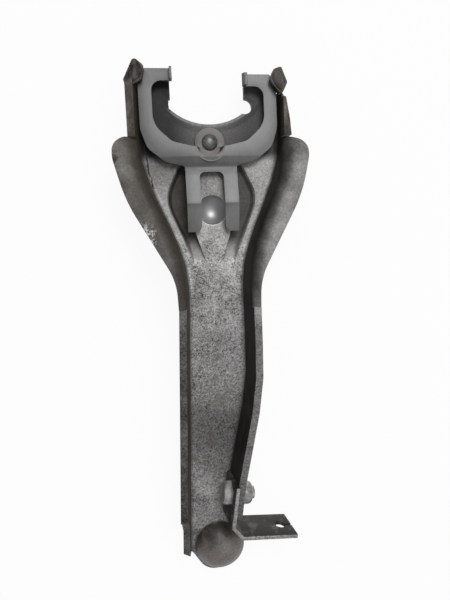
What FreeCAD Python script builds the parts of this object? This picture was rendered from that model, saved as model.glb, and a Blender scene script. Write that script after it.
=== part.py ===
import FreeCAD, Part
import Sketcher
import math
import os

# Clutch release fork, laid on its back with the open side of the channel up.
# The local frame of every sub-part has its origin at the middle of the pivot
# ball socket, on the upper face of the web: +X across the fork, +Y towards the
# yoke tips, +Z out of the open side.  At the end everything is lowered by the
# height of the ball centre and pitched so that the fork rests on the socket
# bulge and on the outer end of the lever.

Vector = FreeCAD.Vector

LEVER_SPANS = 6
NECK_SPANS = 8
WALL_BLOCK = 20.0
CUP_SHARES = (1.0, 0.88, 0.7, 0.48, 0.24)
RIVET_SHARES = (1.0, 0.8, 0.4)
UNDERSIDE_CHORDS = 3
LOBE_CHORDS = 4

SIZES = {
    # pressed sheet
    "sheet_thickness": 4.6,
    "foot_bend_radius": 3.0,
    "wing_bend_radius": 4.0,
    "wall_draft": 7.5,
    # plan of the web, half widths at the feet of the walls
    "lever_half_width": 17.7,
    "yoke_half_width": 44.6,
    "neck_start": -48.0,
    "neck_end": 44.0,
    # lengths along the fork
    "channel_start": -63.0,
    "arm_tip": 83.0,
    "right_arm_wall_end": 68.0,
    "right_wall_end": -199.0,
    "lever_end": -226.4,
    # heights above the web
    "lever_wall_height": 25.0,
    "wing_height": 22.0,
    "arm_wall_height": 14.0,
    "end_rim_height": 9.5,
    # plan of the lever
    "left_wall_spread": 7.0,
    "right_wall_draw_in": 18.0,
    "draw_in_start": -98.0,
    "draw_in_end": -212.0,
    # wings
    "wing_half_span": 60.5,
    "wing_waist_draw": 7.0,
    "wing_waist_place": 4.0,
    "wing_corner_radius": 9.0,
    "right_wing_drop": 4.0,
    # yoke opening
    "finger_gap": 48.0,
    "finger_width": 12.0,
    "yoke_arc_radius": 38.0,
    "yoke_arc_bottom": 54.6,
    "yoke_arc_offset": 0.8,
    "left_notch_radius": 2.6,
    "right_notch_radius": 5.0,
    "notch_place": 66.0,
    # ball socket and the pressed pocket on both sides of it
    "ball_radius": 9.8,
    "ball_centre_height": 1.5,
    "pocket_depth": 4.0,
    "pocket_rim": 4.5,
    "pocket_top": 30.0,
    "pocket_bottom": -35.0,
    "pocket_widest_place": 8.2,
    "pocket_side_run": 2.8,
    "pocket_end_run": 13.0,
    "bridge_half_width": 7.0,
    "socket_wall": 3.2,
    # pushrod cup
    "cup_radius": 17.0,
    "cup_height": 10.5,
    "cup_offset": -5.2,
    "cup_place": -231.5,
    # retaining tabs over the spring
    "tab_gap": 0.1,
    # retainer spring
    "spring_thickness": 1.6,
    "spring_lift": 5.0,
    "spring_arm_width": 8.2,
    "spring_wall_gap": 1.0,
    "spring_bar_width": 7.3,
    "left_spring_top": 86.8,
    "right_spring_top": 83.4,
    "spring_leg_width": 9.0,
    "spring_leg_gap": 15.4,
    "spring_crest_height": 9.4,
    "spring_crest_place": 3.4,
    "spring_leg_end": -14.2,
    "spring_leg_end_height": 4.6,
    "spring_lip_height": 3.2,
    "tongue_radius": 9.4,
    # rivet
    "rivet_place": 42.8,
    "rivet_head_diameter": 10.6,
    "rivet_head_height": 2.2,
    "rivet_shank_diameter": 6.0,
    "fit_clearance": 0.1,
    # return spring bracket
    "strip_width": 25.4,
    "strip_thickness": 2.6,
    "strip_leg_above_bolt": 9.0,
    "strip_leg_below_bolt": 17.0,
    "strip_bevel_length": 9.0,
    "strip_arm_length": 37.5,
    "strip_floor_gap": 0.6,
    "spring_hole_diameter": 7.0,
    "spring_hole_inset": 8.0,
    "tear_width": 1.0,
    # bolt and nut
    "bolt_place": -186.0,
    "bolt_diameter": 7.9,
    "hex_across_flats": 14.3,
    "head_height": 5.4,
    "nut_height": 6.6,
    "bolt_end_past_nut": 2.2,
}


def smooth_step(value, low, high):
    """0 below low, 1 above high, an S curve between."""
    share = min(1.0, max(0.0, (value - low) / (high - low)))
    return share * share * (3.0 - 2.0 * share)


def tangent(degrees):
    return math.tan(math.radians(degrees))


def unit(start, end):
    step = end - start
    return step * (1.0 / step.Length)


def rounded_loop(corners):
    """A closed planar wire through corners of point, radius and, if wanted, chords.

    A corner is rounded by an arc, or by that number of straight chords.
    """
    trimmed = []
    count = len(corners)
    for index, (point, radius, *chords) in enumerate(corners):
        before = corners[index - 1][0]
        after = corners[(index + 1) % count][0]
        incoming = unit(before, point)
        outgoing = unit(point, after)
        turn = incoming.getAngle(outgoing)
        if radius <= 0 or turn < 1e-6:
            trimmed.append((point, None, point, None))
            continue
        setback = radius * math.tan(turn / 2)
        inward = (outgoing - incoming)
        inward = inward * (1.0 / inward.Length)
        middle = point + inward * (radius / math.cos(turn / 2) - radius)
        trimmed.append((point - incoming * setback, middle, point + outgoing * setback, chords))
    edges = []
    for index, (start, middle, end, chords) in enumerate(trimmed):
        if middle is not None:
            arc = Part.Arc(start, middle, end).toShape()
            if chords:
                points = arc.discretize(Number=chords[0] + 1)
                edges += [Part.LineSegment(*pair).toShape() for pair in zip(points, points[1:])]
            else:
                edges.append(arc)
        following = trimmed[(index + 1) % count][0]
        edges.append(Part.LineSegment(end, following).toShape())
    return Part.Wire(edges)


def mirrored(corners):
    """The same corners on the other side of the fork, in reverse order."""
    return [(-x, *others) for x, *others in reversed(corners)]


def section_at(corners, y):
    """A closed section across the fork from x, z corners."""
    return rounded_loop([(Vector(x, y, z), *bend) for x, z, *bend in corners])


def plate(corners, low, high):
    """A flat plate with rounded plan corners between two heights."""
    loop = rounded_loop([(Vector(x, y, low), radius) for x, y, radius in corners])
    return Part.Face(loop).extrude(Vector(0, 0, high - low))


def cap_points(base_radius, height, shares):
    """Points r, z on a spherical cap above its base, at shares of the base radius."""
    ball = (base_radius ** 2 + height ** 2) / (2.0 * height)
    return [(share * base_radius, math.sqrt(ball ** 2 - (share * base_radius) ** 2) - ball + height)
            for share in shares]


def turned(profile):
    """A solid of revolution about z through a closed profile of r, z points."""
    outline = [Vector(r, 0, z) for r, z in profile]
    face = Part.Face(Part.makePolygon(outline + [outline[0]]))
    return face.revolve(Vector(0, 0, 0), Vector(0, 0, 1), 360)


def side_prism(corners, half_width):
    """A prism across the fork, drawn in side view with y, z corners."""
    loop = rounded_loop([(Vector(-half_width, y, z), radius) for y, z, radius in corners])
    return Part.Face(loop).extrude(Vector(2 * half_width, 0, 0))


def sheet_path(points, thickness, bend_radius, half_width):
    """A bent strip: its side view is a path of y, z points, thickened downwards."""
    upper = [Vector(0, y, z) for y, z in points]
    lower = []
    for index, point in enumerate(upper):
        ahead = unit(point, upper[index + 1]) if index + 1 < len(upper) else None
        behind = unit(upper[index - 1], point) if index > 0 else None
        ahead = ahead or behind
        behind = behind or ahead
        normal_ahead = Vector(0, -ahead.z, ahead.y)
        normal_behind = Vector(0, -behind.z, behind.y)
        mean = normal_ahead + normal_behind
        mean = mean * (1.0 / mean.Length)
        lower.append(point + mean * (thickness / mean.dot(normal_ahead)))
    turning = [0.0] + [bend_radius] * (len(points) - 2) + [0.0]
    loop = list(zip(upper, turning)) + list(zip(reversed(lower), reversed(turning)))
    corners = [(Vector(-half_width, p.y, p.z), radius) for p, radius in loop]
    return Part.Face(rounded_loop(corners)).extrude(Vector(2 * half_width, 0, 0))


class ForkSheet:
    """The pressed sheet of the fork: its sections, wings, pocket and trims."""

    def __init__(self, size):
        self.size = size
        self.turn = 90.0 - size["wall_draft"]
        self.corner_shift = size["sheet_thickness"] * tangent(self.turn / 2)

    def web_half_width(self, y):
        size = self.size
        growth = size["yoke_half_width"] - size["lever_half_width"]
        return size["lever_half_width"] + growth * smooth_step(y, size["neck_start"], size["neck_end"])

    def left_foot(self, y):
        size = self.size
        run = size["channel_start"] - size["lever_end"]
        beyond = max(0.0, size["channel_start"] - y) / run
        return self.web_half_width(y) + size["left_wall_spread"] * beyond

    def right_foot(self, y):
        size = self.size
        drawn = smooth_step(-y, -size["draw_in_start"], -size["draw_in_end"])
        return self.web_half_width(y) - size["right_wall_draw_in"] * drawn

    def foot_and_wall(self, foot, height):
        """Corners of one wall in section: inner foot and top, outer top and foot."""
        size = self.size
        thickness = size["sheet_thickness"]
        lean = tangent(size["wall_draft"])
        outer_foot = foot + self.corner_shift
        inner = [(foot, 0.0, size["foot_bend_radius"]), (foot + height * lean, height, 0.0)]
        outer = [
            (outer_foot + (height + thickness) * lean, height, 0.0),
            (outer_foot, -thickness, size["foot_bend_radius"] + thickness, UNDERSIDE_CHORDS),
        ]
        return inner + outer

    def channel_section(self, y, height):
        """Closed U section with both walls cut off square at the given height."""
        right = self.foot_and_wall(self.right_foot(y), height)
        left = self.foot_and_wall(self.left_foot(y), height)
        return section_at(right + mirrored(left), y)

    def hat_section(self, y, height, reach):
        """Closed hat section: the walls turn over outwards into flat wings."""
        size = self.size
        thickness = size["sheet_thickness"]
        lean = tangent(size["wall_draft"])
        foot = self.web_half_width(y)
        outer_radius = size["wing_bend_radius"] + thickness
        half = [
            (foot, 0.0, size["foot_bend_radius"]),
            (foot + height * lean, height, outer_radius),
            (reach, height, 0.0),
            (reach, height - thickness, 0.0),
            (foot + self.corner_shift + height * lean, height - thickness, size["wing_bend_radius"],
             UNDERSIDE_CHORDS),
            (foot + self.corner_shift, -thickness, size["foot_bend_radius"] + thickness, UNDERSIDE_CHORDS),
        ]
        return section_at(half + mirrored(half), y)

    def wing_level(self, y):
        """Height of the wings: it falls to that of the arm walls at the yoke."""
        size = self.size
        fall = size["wing_height"] - size["arm_wall_height"]
        rise = size["lever_wall_height"] - size["wing_height"]
        near_yoke = smooth_step(y, size["neck_end"] / 2, size["neck_end"])
        near_lever = smooth_step(-y, 0.0, -size["channel_start"])
        return size["wing_height"] - fall * near_yoke + rise * near_lever

    def lever_stations(self):
        """Places along the lever where its section is set."""
        start = self.size["channel_start"]
        end = self.size["right_wall_end"]
        return [start + (end - start) * step / LEVER_SPANS for step in range(LEVER_SPANS + 1)]

    def lever(self):
        """Channel of the lever, from the neck to the end of the right wall."""
        height = self.size["lever_wall_height"]
        sections = [self.channel_section(y, height) for y in self.lever_stations()]
        return Part.makeLoft(sections, True, True)

    def bracket_seat(self):
        """Frame on the inner face of the right wall at the bolt.

        Its x axis runs along the wall towards the outer end, its y axis leaves
        through the wall, and its z axis climbs the wall from the lower edge of
        the strip.
        """
        size = self.size
        before, after = self.lever_stations()[-2:]
        place = size["bolt_place"]
        slope = (self.right_foot(before) - self.right_foot(after)) / (before - after)
        foot = self.right_foot(after) + slope * (place - after)
        along = Vector(-slope, -1.0, 0.0).normalize()
        climb = Vector(tangent(size["wall_draft"]), 0.0, 1.0)
        upward = (climb - along * climb.dot(along)).normalize()
        bend = size["foot_bend_radius"] * tangent(self.turn / 2)
        start = Vector(foot, place, 0.0) + climb * ((bend + size["strip_floor_gap"]) / climb.Length)
        frame = FreeCAD.Rotation(along, upward.cross(along), upward, "ZXY")
        return FreeCAD.Placement(start, frame)

    def neck(self):
        """Hat-section neck with the wings, trimmed to the plan of the wings."""
        size = self.size
        start = size["channel_start"]
        end = size["neck_end"]
        reach = size["wing_half_span"] + 12.0
        places = [start + (end - start) * step / NECK_SPANS for step in range(NECK_SPANS + 1)]
        blank = Part.makeLoft(
            [self.hat_section(y, self.wing_level(y), reach) for y in places], True, True
        )
        wall_top = size["lever_half_width"] + self.corner_shift
        wall_top += (size["lever_wall_height"] + size["sheet_thickness"]) * tangent(size["wall_draft"])
        edge = [
            (size["wing_half_span"] + 0.4, end, size["wing_corner_radius"]),
            (size["wing_half_span"], end - 14.0, 20.0),
            (size["wing_half_span"] - size["wing_waist_draw"], size["wing_waist_place"], 90.0),
            (wall_top + 0.6, start + 18.0, 40.0),
            (wall_top, start, 0.0),
        ]
        drop = size["right_wing_drop"]
        right_edge = [(size["wing_half_span"] - 14.0, end, 3.0)]
        right_edge += [(size["wing_half_span"] + 0.4, end - drop, size["wing_corner_radius"] - 0.5)] + edge[1:]
        return blank.common(plate(right_edge + mirrored(edge), -20.0, 60.0))

    def arms(self):
        """Yoke arms: a straight channel with the low arm walls."""
        size = self.size
        start = size["neck_end"]
        section = self.channel_section(start, size["arm_wall_height"])
        blank = Part.Face(section).extrude(Vector(0, size["arm_tip"] - start, 0))
        half = size["yoke_half_width"] + self.corner_shift
        half += (size["arm_wall_height"] + size["sheet_thickness"]) * tangent(size["wall_draft"])
        tip = size["arm_tip"]
        outline = [
            (half, start, 0.0),
            (half - 0.8, start + 10.0, 30.0),
            (half - 3.0, size["right_arm_wall_end"], 12.0),
            (half - 12.0, tip - 1.0, 4.0),
            (half - 16.0, tip, 0.0),
            (-half + 12.0, tip, 0.0),
            (-half, tip - 7.0, 0.0),
            (-half, start, 0.0),
        ]
        return blank.common(plate(outline, -20.0, 60.0))

    def lever_tail(self):
        """Outer end: left wall only, round web end about the pushrod cup."""
        size = self.size
        start = size["right_wall_end"]
        thickness = size["sheet_thickness"]
        height = size["lever_wall_height"]
        right_edge = size["cup_radius"] + size["cup_offset"] + 8.0
        sections = []
        for y in (start, size["cup_place"] - size["cup_radius"] - 4.0):
            left = self.foot_and_wall(self.left_foot(y), height)
            corners = [(right_edge, 0.0, 0.0), (right_edge, -thickness, 0.0)]
            sections.append(section_at(corners + mirrored(left), y))
        blank = Part.makeLoft(sections, True, True)
        cup_x = size["cup_offset"]
        rim = size["cup_radius"] + 0.2
        left_out = -self.left_foot(size["lever_end"]) - 12.0
        foot = self.right_foot(start) + 4.0
        outline = [
            (foot, start, 0.0),
            (cup_x + rim, size["cup_place"] + 6.0, 12.0),
            (cup_x + rim, size["cup_place"] - rim, rim - 0.2),
            (cup_x - 0.58 * rim, size["cup_place"] - rim, rim - 5.0),
            (cup_x - 1.19 * rim, size["lever_end"] - 6.0, 3.0),
            (left_out, size["lever_end"], 0.0),
            (left_out, start, 0.0),
        ]
        blank = blank.common(plate(outline, -20.0, 60.0))
        ramp = start - 14.0
        above = [
            (start + 1.0, size["lever_wall_height"] + 5.0, 0.0),
            (start + 1.0, size["lever_wall_height"] - 2.0, 0.0),
            (ramp, size["end_rim_height"], 6.0),
            (size["lever_end"] - 30.0, size["end_rim_height"] - 1.5, 0.0),
            (size["lever_end"] - 30.0, size["lever_wall_height"] + 5.0, 0.0),
        ]
        return blank.cut(side_prism(above, 60.0))

    def lobe(self, side, share, outset, level):
        """Outline of one pocket lobe, at a share of the way from its rim to its floor.

        Each corner has its place on the rim, the way from there to the floor,
        its radius, and whether it bulges out (1) or in (-1).
        """
        size = self.size
        top = size["pocket_top"]
        bottom = size["pocket_bottom"]
        widest = size["pocket_widest_place"]
        bridge = size["bridge_half_width"]
        side_run = size["pocket_side_run"]
        end_run = size["pocket_end_run"]
        socket = size["ball_radius"] + size["socket_wall"]
        corners = [
            (bridge - 2.0, bottom, 4.5, end_run, 2.3, 1),
            (bridge + 6.0, bottom - 0.5, 1.5, end_run - 1.5, 2.5, 1),
            (self.web_half_width(widest) - size["pocket_rim"], widest, -side_run, -0.7, 20.0, 1),
            (0.47 * self.web_half_width(top), top, -0.5 * side_run, -3.0, 4.2, 1),
            (bridge + 2.0, top, side_run, -3.0, 2.2, 1),
            (socket, 0.63 * widest, side_run, 0.0, 4.0, -1),
            (socket, 0.29 * bottom, side_run, 2.0, 4.0, -1),
        ]
        points = [Vector(x + share * dx, y + share * dy, 0) for x, y, dx, dy, _, _ in corners]
        shifted = []
        for index, point in enumerate(points):
            radius, sense = corners[index][4:]
            incoming = unit(points[index - 1], point)
            outgoing = unit(point, points[(index + 1) % len(points)])
            normal_in = Vector(incoming.y, -incoming.x, 0)
            normal_out = Vector(outgoing.y, -outgoing.x, 0)
            mean = normal_in + normal_out
            mean = mean * (1.0 / mean.Length)
            moved = point + mean * (outset / mean.dot(normal_in))
            shifted.append((Vector(side * moved.x, moved.y, level), radius + sense * outset, LOBE_CHORDS))
        return rounded_loop(shifted)

    def pocket(self, side):
        """The hollow of one lobe, cut from above with soft sides."""
        depth = self.size["pocket_depth"]
        stack = [(-0.12, 0.5), (0.45, -0.6 * depth), (1.0, -depth)]
        return Part.makeLoft([self.lobe(side, share, 0.0, level) for share, level in stack], True, True)

    def bulge(self, side):
        """The same lobe standing out under the web, one thickness lower."""
        depth = self.size["pocket_depth"]
        thickness = self.size["sheet_thickness"]
        outset = 0.4 * thickness
        stack = [(0.0, -0.5 * thickness), (1.0, -thickness - depth)]
        return Part.makeLoft([self.lobe(side, share, outset, level) for share, level in stack], True, True)

    def yoke_opening(self):
        """The gap between the fingers, with a round bottom and relief notches."""
        size = self.size
        half = size["finger_gap"] / 2
        finger_root = size["arm_tip"] - size["finger_width"]
        top = size["arm_tip"] + 10.0
        slot = Part.makeBox(2 * half, top - finger_root, 60.0, Vector(-half, finger_root, -20.0))
        centre = size["yoke_arc_bottom"] + size["yoke_arc_radius"]
        disc = Part.makeCylinder(size["yoke_arc_radius"], 60.0, Vector(size["yoke_arc_offset"], centre, -20.0))
        mouth = Part.makeBox(2 * half + 2, finger_root - size["yoke_arc_bottom"], 60.0,
                             Vector(-half - 1, size["yoke_arc_bottom"], -20.0))
        opening = slot.fuse(disc.common(mouth))
        left = Vector(-half + size["left_notch_radius"] / 2, size["notch_place"] + 1.5, -20.0)
        right = Vector(half, size["notch_place"], -20.0)
        opening = opening.fuse(Part.makeCylinder(size["left_notch_radius"], 60.0, left))
        return opening.fuse(Part.makeCylinder(size["right_notch_radius"], 60.0, right))

    def wall_trims(self):
        """Blocks that end the arm walls: the right one stops short of its tab."""
        size = self.size
        wall = size["yoke_half_width"]
        tip = size["arm_tip"]
        end = size["right_arm_wall_end"]
        left = Part.makeBox(WALL_BLOCK, WALL_BLOCK, WALL_BLOCK, Vector(-wall - WALL_BLOCK, tip - 1.0, 12.0))
        low = plate([(wall + 1.2, end + 3.5, 1.0), (wall + 8.0, end - 1.0, 0.0), (wall + 12.0, tip, 0.0),
                     (wall + 3.6, tip, 0.0), (wall + 3.6, end + 6.0, 0.0)], -WALL_BLOCK, self.tab_level())
        high = plate([(wall - 5.0, end, 0.0), (wall + WALL_BLOCK, end - 1.0, 0.0),
                      (wall + WALL_BLOCK, tip + 8.0, 0.0), (wall - 5.0, tip + 8.0, 0.0)],
                     self.tab_level() + size["sheet_thickness"], WALL_BLOCK)
        return left.fuse([low, high])

    def tab_level(self):
        """Underside of the tabs, one gap above the spring plate."""
        size = self.size
        return size["spring_lift"] + size["spring_thickness"] + size["tab_gap"]

    def tabs(self):
        """Ends of the arm walls, turned in over the corners of the spring."""
        size = self.size
        wall = size["yoke_half_width"]
        tip = size["arm_tip"]
        low = self.tab_level()
        high = low + size["sheet_thickness"]
        left = plate(
            [(-wall - 7.4, tip - 5.0, 1.5), (-wall - 0.6, tip + 8.6, 2.0), (-wall + 5.6, tip + 3.4, 2.5),
             (-wall + 4.0, tip - 4.4, 2.0), (-wall - 4.6, tip - 9.2, 2.0)], low, high)
        right = plate(
            [(wall + 1.6, tip + 3.6, 1.2), (wall + 5.4, tip - 6.0, 2.2), (wall + 1.6, tip - 13.6, 1.6),
             (wall - 2.4, tip - 9.4, 2.2), (wall - 5.8, tip - 4.4, 2.0), (wall - 3.4, tip + 2.0, 2.4)],
            low, high)
        return left, right


def add_shape(doc, name, shape):
    feature = doc.addObject("Part::Feature", name)
    feature.Shape = shape
    return feature


def make_sheet(doc):
    """Write every size into the document's sheet and return them read back."""
    sheet = doc.addObject("Spreadsheet::Sheet", "Sizes")
    for row, (name, value) in enumerate(SIZES.items(), start=1):
        sheet.set("A%d" % row, name)
        sheet.set("B%d" % row, str(value))
        sheet.setAlias("B%d" % row, name)
    doc.recompute()
    return {name: float(sheet.get(name)) for name in SIZES}


def bound(doc, kind, name, **expressions):
    """A Part primitive whose properties are bound to the sheet."""
    item = doc.addObject(kind, name)
    for key, expression in expressions.items():
        item.setExpression(key.replace("__", "."), expression)
    return item


def cup_hollow(size):
    """Hollow under the pushrod cup, one thickness inside its dome."""
    height = size["cup_height"]
    thickness = size["sheet_thickness"]
    dome = (size["cup_radius"] ** 2 + height ** 2) / (2.0 * height)
    inside = dome - thickness
    mouth = math.sqrt(inside ** 2 - (inside - height) ** 2)
    profile = [(0.0, -thickness), (mouth, -thickness)]
    profile += cap_points(mouth, height, CUP_SHARES) + [(0.0, height)]
    hollow = turned(profile)
    hollow.translate(Vector(size["cup_offset"], size["cup_place"], -thickness))
    return hollow


def fork_body(doc, form):
    """The pressed sheet with its socket, cup, pocket, tabs and holes."""
    left_tab, right_tab = form.tabs()
    dome = "((Sizes.cup_radius ^ 2 + Sizes.cup_height ^ 2) / (2 * Sizes.cup_height))"
    blank = doc.addObject("Part::MultiFuse", "ForkBlank")
    blank.Shapes = [
        add_shape(doc, "Lever", form.lever()),
        add_shape(doc, "Neck", form.neck()),
        add_shape(doc, "Arms", form.arms()),
        add_shape(doc, "LeverTail", form.lever_tail()),
        add_shape(doc, "LeftTab", left_tab),
        add_shape(doc, "RightTab", right_tab),
        add_shape(doc, "LeftBulge", form.bulge(-1)),
        add_shape(doc, "RightBulge", form.bulge(1)),
        bound(doc, "Part::Sphere", "SocketBulge", Radius="Sizes.ball_radius + Sizes.sheet_thickness",
              Angle2="-asin((Sizes.ball_centre_height + Sizes.sheet_thickness / 2) / "
                     "(Sizes.ball_radius + Sizes.sheet_thickness))",
              Placement__Base__z="Sizes.ball_centre_height"),
        bound(doc, "Part::Sphere", "CupDome", Radius=dome, Angle1="asin((%s - Sizes.cup_height) / %s)" % (dome, dome),
              Placement__Base__x="Sizes.cup_offset", Placement__Base__y="Sizes.cup_place",
              Placement__Base__z="Sizes.cup_height - " + dome),
    ]
    bolt_hole = bound(doc, "Part::Cylinder", "BoltHole",
                      Radius="Sizes.bolt_diameter / 2 + Sizes.fit_clearance", Height="5 * Sizes.sheet_thickness")
    bolt_hole.Placement = form.bracket_seat().multiply(bolt_axis(form.size, -2 * form.size["sheet_thickness"]))
    cutters = doc.addObject("Part::MultiFuse", "ForkHollows")
    cutters.Shapes = [
        add_shape(doc, "LeftPocket", form.pocket(-1)),
        add_shape(doc, "RightPocket", form.pocket(1)),
        add_shape(doc, "YokeOpening", form.yoke_opening()),
        add_shape(doc, "WallTrims", form.wall_trims()),
        bound(doc, "Part::Sphere", "BallSocket", Radius="Sizes.ball_radius",
              Placement__Base__z="Sizes.ball_centre_height"),
        add_shape(doc, "CupHollow", cup_hollow(form.size)),
        bound(doc, "Part::Cylinder", "RivetHole",
              Radius="Sizes.rivet_shank_diameter / 2 + Sizes.fit_clearance", Height="4 * Sizes.sheet_thickness",
              Placement__Base__y="Sizes.rivet_place", Placement__Base__z="-3 * Sizes.sheet_thickness"),
        bolt_hole,
    ]
    body = doc.addObject("Part::Cut", "ForkBody")
    body.Base = blank
    body.Tool = cutters
    return body


def bolt_axis(size, start):
    """Placement of a piece drawn along z onto the bolt axis of the seat frame."""
    across = FreeCAD.Rotation(Vector(1, 0, 0), -90)
    return FreeCAD.Placement(Vector(0, start, size["strip_width"] / 2), across)


def retainer_spring(doc, form):
    """Spring plate: arms over the fingers, a riveted dimple and two legs."""
    size = form.size
    thickness = size["spring_thickness"]
    lift = size["spring_lift"]
    span = size["yoke_half_width"] - size["spring_wall_gap"]
    inner = span - size["spring_arm_width"]
    gap = size["spring_leg_gap"] / 2
    leg = gap + size["spring_leg_width"]
    end = size["spring_leg_end"]
    root = size["rivet_place"] - 3.2
    outline = []
    for side, top in ((1, size["right_spring_top"]), (-1, size["left_spring_top"])):
        bar = top - size["spring_bar_width"]
        half = [
            (-11.0, root, 1.5),
            (-24.0, root + 3.0, 10.0),
            (-inner, 53.0, 14.0),
            (-inner, bar, 6.0),
            (-size["finger_gap"] / 2, bar, 0.0),
            (-size["finger_gap"] / 2, top, 0.0),
            (-span + 4.0, top, 1.5),
            (-span, top - 7.5, 6.0),
            (-span, 50.0, 18.0),
            (-span + 4.0, 38.5, 10.0),
            (-leg - 12.0, 30.0, 14.0),
            (-leg, 27.6, 2.0),
            (-leg, end, 0.0),
            (-gap - 1.6, end, 0.0),
            (-gap, end + 3.4, 0.0),
            (-gap, 23.6, 3.4),
        ]
        loop = [(-side * x, y, radius) for x, y, radius in half]
        outline += loop if side > 0 else list(reversed(loop))
    top = max(size["left_spring_top"], size["right_spring_top"])
    path = [
        (top + 5.0, lift + thickness),
        (33.0, lift + thickness),
        (27.0, lift - 0.4),
        (size["spring_crest_place"], size["spring_crest_height"]),
        (end - 5.0, size["spring_leg_end_height"] - 1.0),
    ]
    plate_shape = sheet_path(path, thickness, 3.0, span + 5.0).common(plate(outline, -5.0, 30.0))
    centre = Vector(0, size["rivet_place"], 0)
    flat = size["tongue_radius"]
    foot = flat - 2.0
    plate_shape = plate_shape.cut(Part.makeCylinder(flat, 30.0, centre))
    cone = [
        Vector(0, 0, 0), Vector(foot, 0, 0), Vector(flat + 0.6, 0, lift),
        Vector(flat + 0.6, 0, lift + thickness), Vector(flat - 0.2, 0, lift + thickness),
        Vector(foot - 0.8, 0, thickness), Vector(0, 0, thickness),
    ]
    dish = Part.Face(Part.makePolygon(cone + [cone[0]])).revolve(Vector(0, 0, 0), Vector(0, 0, 1), 180)
    dish.Placement = FreeCAD.Placement(centre + Vector(0, -3.0, 0), FreeCAD.Rotation(Vector(0, 0, 1), 180))
    tongue = Part.makeCylinder(flat, thickness, centre)
    tongue = tongue.common(Part.makeBox(4 * flat, 4 * flat, 20.0, Vector(-2 * flat, centre.y - 3.0, -5.0)))
    tongue = tongue.fuse(dish)
    lips = spring_lips(size)
    shape = plate_shape.fuse([tongue] + lips)
    hole = Part.makeCylinder(size["rivet_shank_diameter"] / 2 + size["fit_clearance"], 30.0, centre - Vector(0, 0, 5))
    return add_shape(doc, "RetainerSpring", shape.cut(hole).removeSplitter())


def spring_lips(size):
    """Inner ends of the spring arms: a straight lip on the left, a curl on the right."""
    half = size["finger_gap"] / 2
    thickness = size["spring_thickness"]
    base = size["spring_lift"]
    width = size["spring_bar_width"]
    rise = size["spring_lip_height"] + thickness
    left = Part.makeBox(thickness, width, rise, Vector(-half, size["left_spring_top"] - width, base))
    radius = rise / 2
    axis = Vector(half, size["right_spring_top"] - width, base + radius)
    curl = Part.makeCylinder(radius, width, axis, Vector(0, 1, 0))
    bore = Part.makeCylinder(radius - thickness / 2, width, axis, Vector(0, 1, 0))
    mouth = Part.makeBox(radius, width, 2 * radius, axis + Vector(thickness / 2, 0, thickness - radius))
    return [left, curl.cut([bore, mouth])]


def spring_rivet(doc, size):
    """Rivet with a low domed head and a domed tail, through spring and web."""
    shank = size["rivet_shank_diameter"] / 2
    dome = cap_points(size["rivet_head_diameter"] / 2, size["rivet_head_height"], RIVET_SHARES)
    top = size["spring_thickness"]
    bottom = -size["sheet_thickness"]
    head = [(r, top + z) for r, z in dome]
    tail = [(r, bottom - z) for r, z in reversed(dome)]
    profile = [(0.0, tail[0][1])] + tail + [(shank, bottom), (shank, top)] + head + [(0.0, head[-1][1])]
    rivet = add_shape(doc, "SpringRivet", turned(profile))
    rivet.Placement.Base = Vector(0, size["rivet_place"], 0)
    return rivet


def origin_plane(body, role):
    return next(item for item in body.Origin.OriginFeatures if item.Role == role)


def new_sketch(body, name, role):
    sketch = body.newObject("Sketcher::SketchObject", name)
    sketch.AttachmentSupport = (origin_plane(body, role), [""])
    sketch.MapMode = "FlatFace"
    return sketch


def bind(sketch, constraint, expression):
    """Add a driving dimension to a sketch and bind it to the sheet."""
    index = sketch.addConstraint(constraint)
    sketch.setExpression("Constraints[%d]" % index, expression)


def circle_pocket(body, name, role, across, up, radius, guess):
    """A round hole through the body, centred by two bound distances."""
    sketch = new_sketch(body, name + "Sketch", role)
    circle = sketch.addGeometry(Part.Circle(Vector(*guess, 0), Vector(0, 0, 1), 3.0), False)
    bind(sketch, Sketcher.Constraint("DistanceX", -1, 1, circle, 3, guess[0]), across)
    bind(sketch, Sketcher.Constraint("DistanceY", -1, 1, circle, 3, guess[1]), up)
    bind(sketch, Sketcher.Constraint("Radius", circle, 3.0), radius)
    pocket = body.newObject("PartDesign::Pocket", name)
    pocket.Profile = sketch
    pocket.Type = 1
    pocket.Midplane = True
    return pocket


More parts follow.
